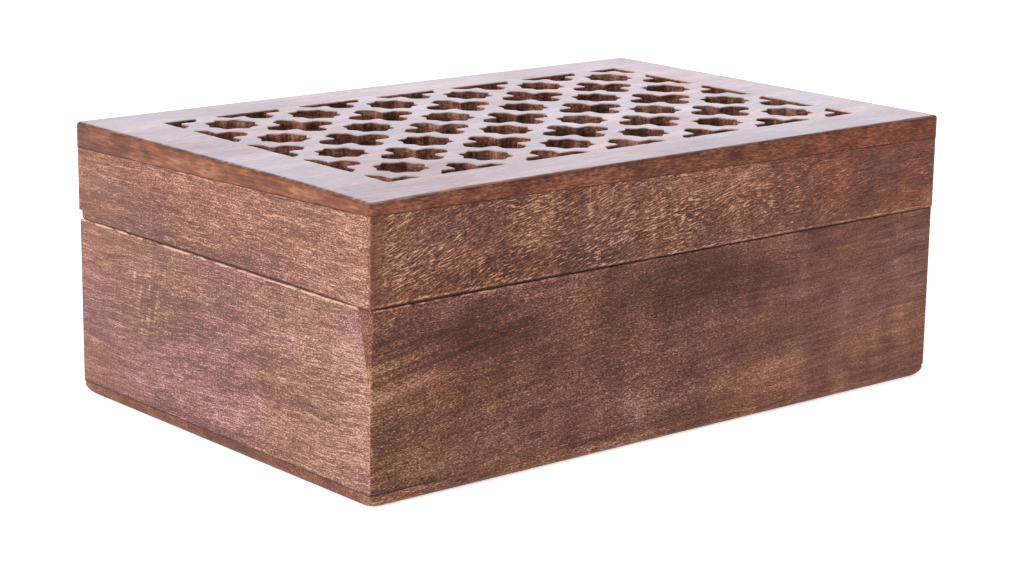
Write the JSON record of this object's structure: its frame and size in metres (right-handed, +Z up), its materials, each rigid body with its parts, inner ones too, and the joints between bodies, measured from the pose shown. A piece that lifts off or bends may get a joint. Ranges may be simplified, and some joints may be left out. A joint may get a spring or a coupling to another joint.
{
  "type": "wooden puzzle box",
  "caption": "Rectangular hinged wooden box with mitred walls, a pierced star-and-cross jali lid and a hidden tilt lock in its front wall.",
  "frame": {"origin": "middle of the underside", "axes": "+X to the right along the length, seen from the front; +Y to the back, where the hinges are; +Z up"},
  "size_m": [0.228, 0.15, 0.0864],
  "materials": {
    "base_wood": "hand-sanded, waxed satin",
    "lid_wood": "hand-sanded, waxed satin",
    "panel_wood": "hand-sanded, waxed satin",
    "bottom_wood": "hand-sanded, waxed satin",
    "brass": "dull, lightly tarnished",
    "steel": "drawn wire"
  },
  "bodies": {
    "base": {"base_front_board": "base_wood", "base_back_board": "base_wood", "base_left_board": "base_wood", "base_right_board": "base_wood", "base_bottom_board": "bottom_wood", "left_hinge_base_leaf": "brass", "right_hinge_base_leaf": "brass", "left_hinge_pin": "steel", "right_hinge_pin": "steel", "hinge_base_screws": "brass", "lock_channel_plug": "base_wood"},
    "lid": {"lid_front_board": "lid_wood", "lid_back_board": "lid_wood", "lid_left_board": "lid_wood", "lid_right_board": "lid_wood", "jali_top_panel": "panel_wood", "left_hinge_lid_leaf": "brass", "right_hinge_lid_leaf": "brass", "hinge_lid_screws": "brass", "lock_tongue": "brass", "lock_tongue_pin": "steel"},
    "lock_pin": {"lock_pin": "steel"}
  },
  "joints": [
    {"name": "lid_hinge", "type": "hinge", "parent": "base", "child": "lid", "pos_m": [0, 0.0734, 0.0573], "axis": [-1, 0, 0], "range_deg": [0, 104]},
    {"name": "lock_pin_slide", "type": "slide", "parent": "base", "child": "lock_pin", "axis": [-1, 0, 0], "range_m": [0, 0.0148]}
  ]
}
